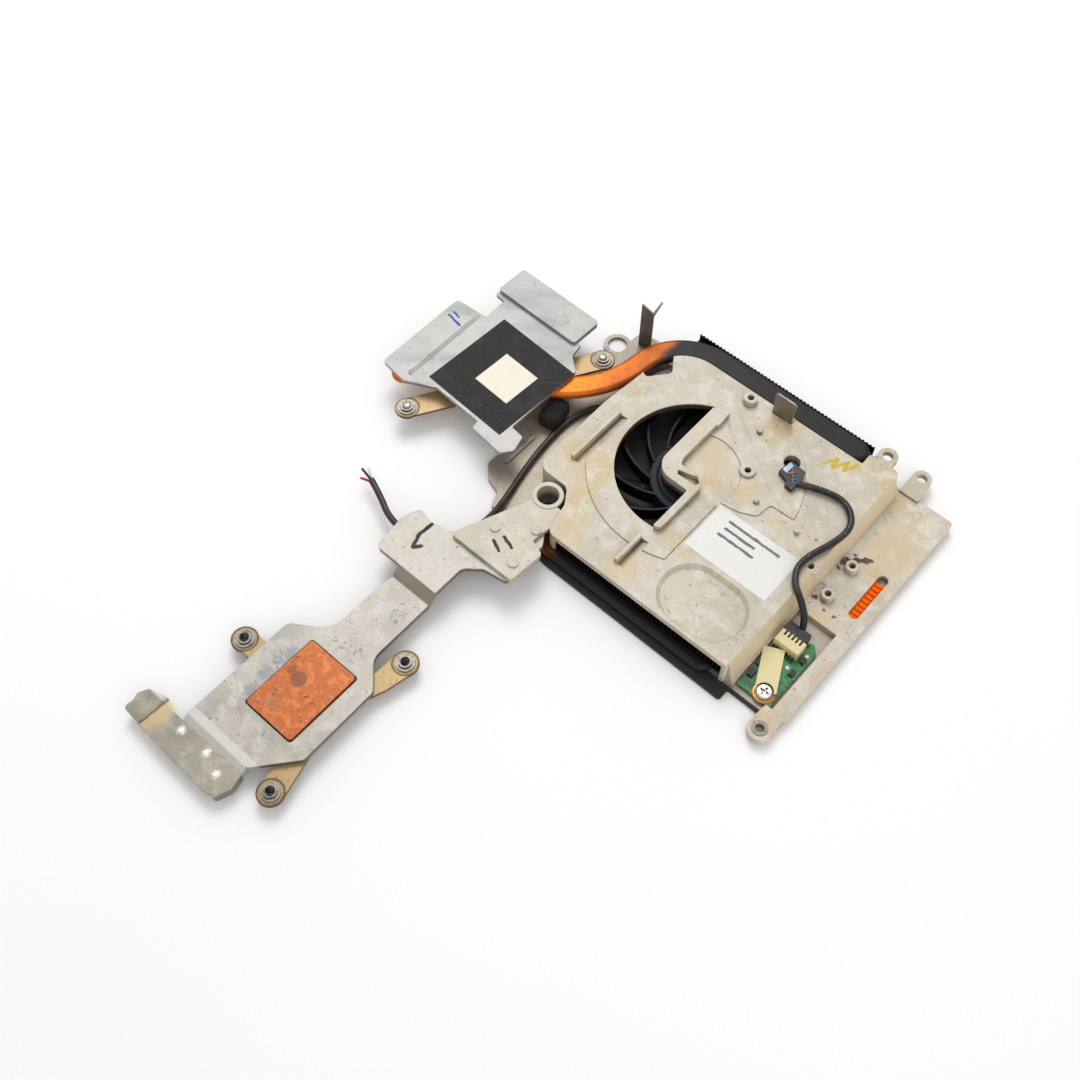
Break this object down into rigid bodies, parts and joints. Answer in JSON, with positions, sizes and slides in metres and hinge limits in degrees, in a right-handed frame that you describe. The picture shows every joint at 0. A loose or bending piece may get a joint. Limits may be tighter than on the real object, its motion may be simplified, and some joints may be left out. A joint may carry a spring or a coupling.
{
  "type": "laptop cooling fan heatsink",
  "caption": "Flat laptop blower housing with black fin stacks, flattened copper heat pipes, a long processor plate with a copper slug and a padded graphics plate.",
  "frame": {"origin": "centre of the copper slug's contact face", "axes": "+Z out of the contact face towards the laptop's circuit board, +Y along the long plate towards the rear fins, +X towards the shelf with the small board"},
  "size_m": [0.1616, 0.2083, 0.0207],
  "materials": {
    "cast_alloy": "matt cast",
    "base_sheet": "satin",
    "plate_alloy": "satin",
    "copper": "satin copper",
    "fin_black": "matt black",
    "spring_steel": "brushed",
    "steel": "bright",
    "pad_black": "matt",
    "pad_white": "soft",
    "blade_plastic": "satin",
    "magnet": "matt",
    "bearing_brass": "satin",
    "board_green": "gloss",
    "lead_black": "satin",
    "wire_colours": "satin",
    "foam_black": "open foam",
    "socket_beige": "satin",
    "plug_black": "satin",
    "latch_pale": "satin",
    "paper": "matt paper",
    "pad_orange": "soft"
  },
  "bodies": {
    "root": {"fan_cover": "cast_alloy", "cpu_plate": "plate_alloy", "gpu_plate": "plate_alloy", "end_flange": "plate_alloy", "base_plate": "base_sheet", "gpu_heat_pipe": "copper", "cpu_heat_pipe": "copper", "cpu_slug": "copper", "stator_windings": "copper", "rear_fins": "fin_black", "side_fins": "fin_black", "cpu_spring": "spring_steel", "gpu_spring": "spring_steel", "ground_finger": "steel", "rear_tab": "steel", "base_screws": "steel", "ear_rivets": "plate_alloy", "cpu_screw_collars": "steel", "gpu_screw_collars": "steel", "gpu_pad_frame": "pad_black", "gpu_thermal_pad": "pad_white", "motor_bearing": "bearing_brass", "stator_core": "steel", "motor_board": "board_green", "control_board": "board_green", "fan_lead": "lead_black", "fan_lead_wires": "wire_colours", "lead_foam": "foam_black", "board_socket": "socket_beige", "board_plug": "plug_black", "board_chips": "plug_black", "board_tag": "socket_beige", "board_screw": "steel", "cover_connector": "plug_black", "connector_latch": "latch_pale", "board_lead": "lead_black", "label": "paper", "tab_insert": "steel", "slot_pad": "pad_orange"},
    "rotor": {"impeller": "blade_plastic", "magnet_ring": "magnet", "rotor_shaft": "steel"},
    "cpu_screw_a_body": {"cpu_screw_a": "steel"},
    "cpu_screw_b_body": {"cpu_screw_b": "steel"},
    "cpu_screw_c_body": {"cpu_screw_c": "steel"},
    "gpu_screw_a_body": {"gpu_screw_a": "steel"},
    "gpu_screw_b_body": {"gpu_screw_b": "steel"}
  },
  "joints": [
    {"name": "impeller_spin", "type": "hinge", "parent": "root", "child": "rotor", "pos_m": [0.0367, 0.123, -0.0014], "axis": [0, 0, 1], "continuous": true},
    {"name": "cpu_screw_a_turn", "type": "hinge", "parent": "root", "child": "cpu_screw_a_body", "pos_m": [-0.0237, 0.0006, -0.0024], "axis": [0, 0, 1], "continuous": true},
    {"name": "cpu_screw_b_turn", "type": "hinge", "parent": "root", "child": "cpu_screw_b_body", "pos_m": [0.0145, 0.0247, -0.0024], "axis": [0, 0, 1], "continuous": true},
    {"name": "cpu_screw_c_turn", "type": "hinge", "parent": "root", "child": "cpu_screw_c_body", "pos_m": [0.0144, -0.0247, -0.0024], "axis": [0, 0, 1], "continuous": true},
    {"name": "gpu_screw_a_turn", "type": "hinge", "parent": "root", "child": "gpu_screw_a_body", "pos_m": [-0.0443, 0.0854, 0.0003], "axis": [0, 0, 1], "continuous": true},
    {"name": "gpu_screw_b_turn", "type": "hinge", "parent": "root", "child": "gpu_screw_b_body", "pos_m": [-0.0118, 0.1391, 0.0003], "axis": [0, 0, 1], "continuous": true}
  ]
}
